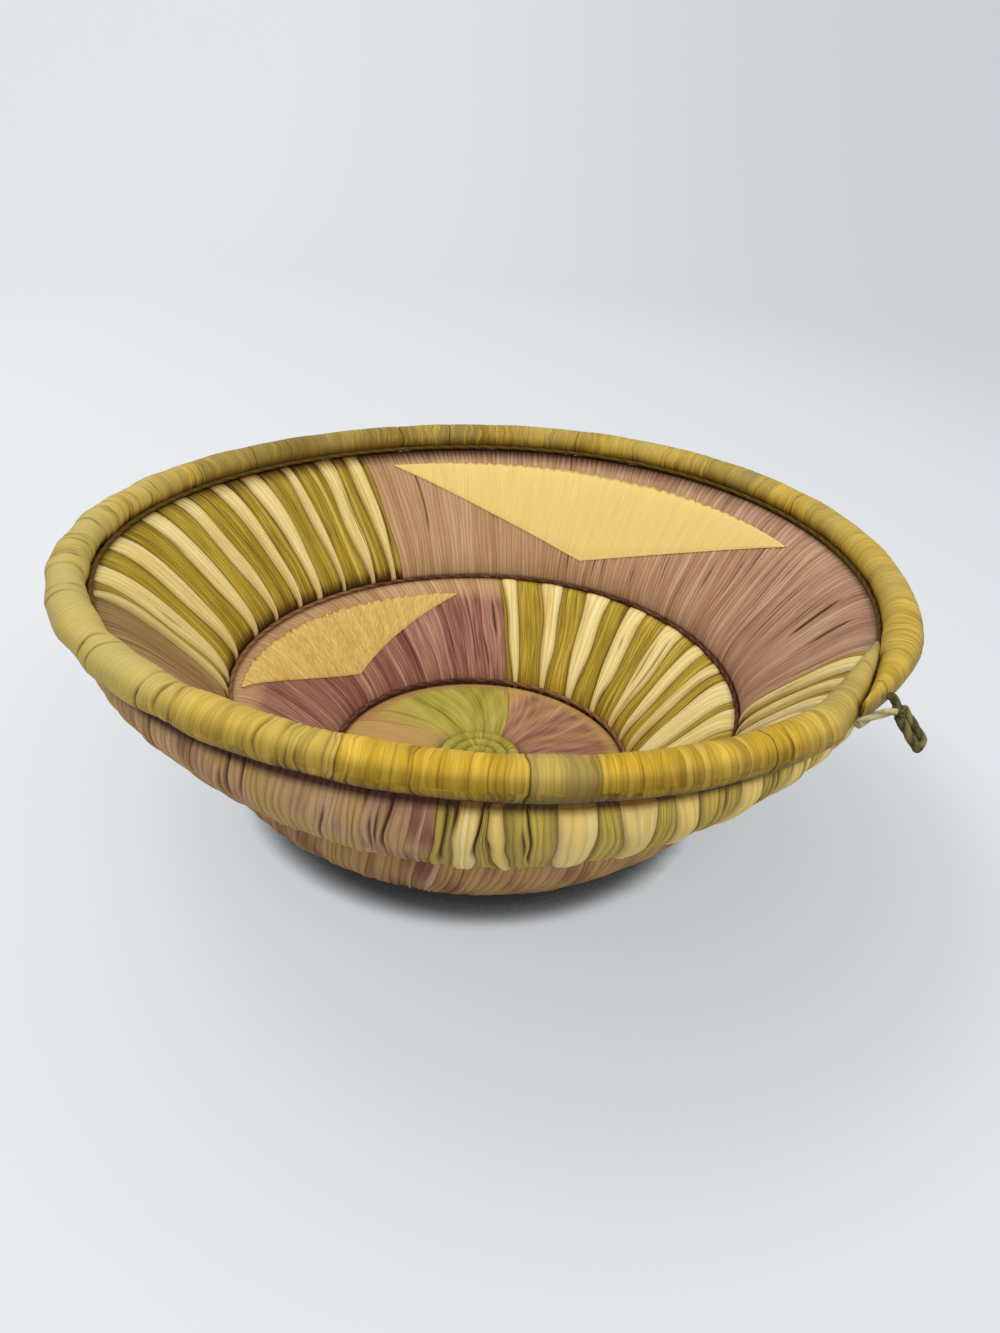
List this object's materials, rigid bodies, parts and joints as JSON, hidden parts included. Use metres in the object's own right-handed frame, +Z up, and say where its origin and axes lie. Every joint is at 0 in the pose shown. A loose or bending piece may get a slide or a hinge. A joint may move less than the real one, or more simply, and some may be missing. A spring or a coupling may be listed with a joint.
{
  "type": "coiled basket",
  "caption": "Shallow round bowl basket of wrapped grass coils, with a flat base, two wall bands that meet at a step, a round rim coil and a small hanging loop.",
  "frame": {"origin": "centre of the flat underside, on the surface that the basket stands on", "axes": "+Z up out of the bowl, -Y towards the side with the plain front of the rim, +X towards the side where the rim's two ends lie side by side"},
  "size_m": [0.3023, 0.2988, 0.1061],
  "materials": {
    "olive_raffia": "raffia wrapping, dull sheen, olive green",
    "mauve_raffia": "raffia wrapping, dull sheen, mauve brown",
    "cream_raffia": "raffia, undyed cream, fine ribs",
    "mustard_raffia": "raffia wrapping, mustard yellow with a soft sheen",
    "grass_bundle": "bundled dry grass, dull",
    "seam_strand": "dark red-brown sewing strand",
    "loop_light": "twisted light fibre",
    "loop_dark": "twisted dark fibre"
  },
  "bodies": {
    "basket": {"centre_coil": "olive_raffia", "base_wrap_olive": "olive_raffia", "lower_stripes_front": "olive_raffia", "lower_stripes_right": "olive_raffia", "lower_stripes_back": "olive_raffia", "upper_stripes_front": "olive_raffia", "upper_stripes_right": "olive_raffia", "upper_stripes_back_left": "olive_raffia", "upper_stripes_left": "olive_raffia", "base_wrap_mauve_near": "mauve_raffia", "base_wrap_mauve_right": "mauve_raffia", "lower_mauve_back": "mauve_raffia", "lower_mauve_back_left": "mauve_raffia", "lower_mauve_left": "mauve_raffia", "lower_mauve_front_left": "mauve_raffia", "lower_mauve_front": "mauve_raffia", "upper_mauve_right": "mauve_raffia", "upper_mauve_back": "mauve_raffia", "upper_mauve_back_left": "mauve_raffia", "upper_mauve_left": "mauve_raffia", "upper_mauve_front_left": "mauve_raffia", "lower_triangle_panel": "cream_raffia", "upper_triangle_panel": "cream_raffia", "rim_wrap_01": "mustard_raffia", "rim_wrap_02": "mustard_raffia", "rim_wrap_03": "mustard_raffia", "rim_wrap_04": "mustard_raffia", "rim_wrap_05": "mustard_raffia", "rim_wrap_06": "mustard_raffia", "rim_wrap_07": "mustard_raffia", "rim_wrap_08": "mustard_raffia", "rim_wrap_09": "mustard_raffia", "rim_wrap_10": "mustard_raffia", "rim_wrap_11": "mustard_raffia", "rim_wrap_12": "mustard_raffia", "rim_start_tip": "mustard_raffia", "rim_finish_tip": "mustard_raffia", "base_bundle": "grass_bundle", "lower_bundle": "grass_bundle", "upper_bundle": "grass_bundle", "rim_bundle": "grass_bundle", "base_seam": "seam_strand", "step_seam_inside": "seam_strand", "step_seam_outside": "seam_strand", "rim_seam_inside": "seam_strand", "rim_seam_outside": "seam_strand", "loop_strand_light": "loop_light", "loop_knot": "loop_dark", "loop_strand_dark": "loop_dark"},
    "eye": {"loop_eye": "loop_dark"}
  },
  "joints": [
    {"name": "eye_swing", "type": "hinge", "parent": "basket", "child": "eye", "pos_m": [0.12058, -0.08955, 0.098], "axis": [0.5962, 0.8028, 0], "range_deg": [-115, 68]}
  ]
}
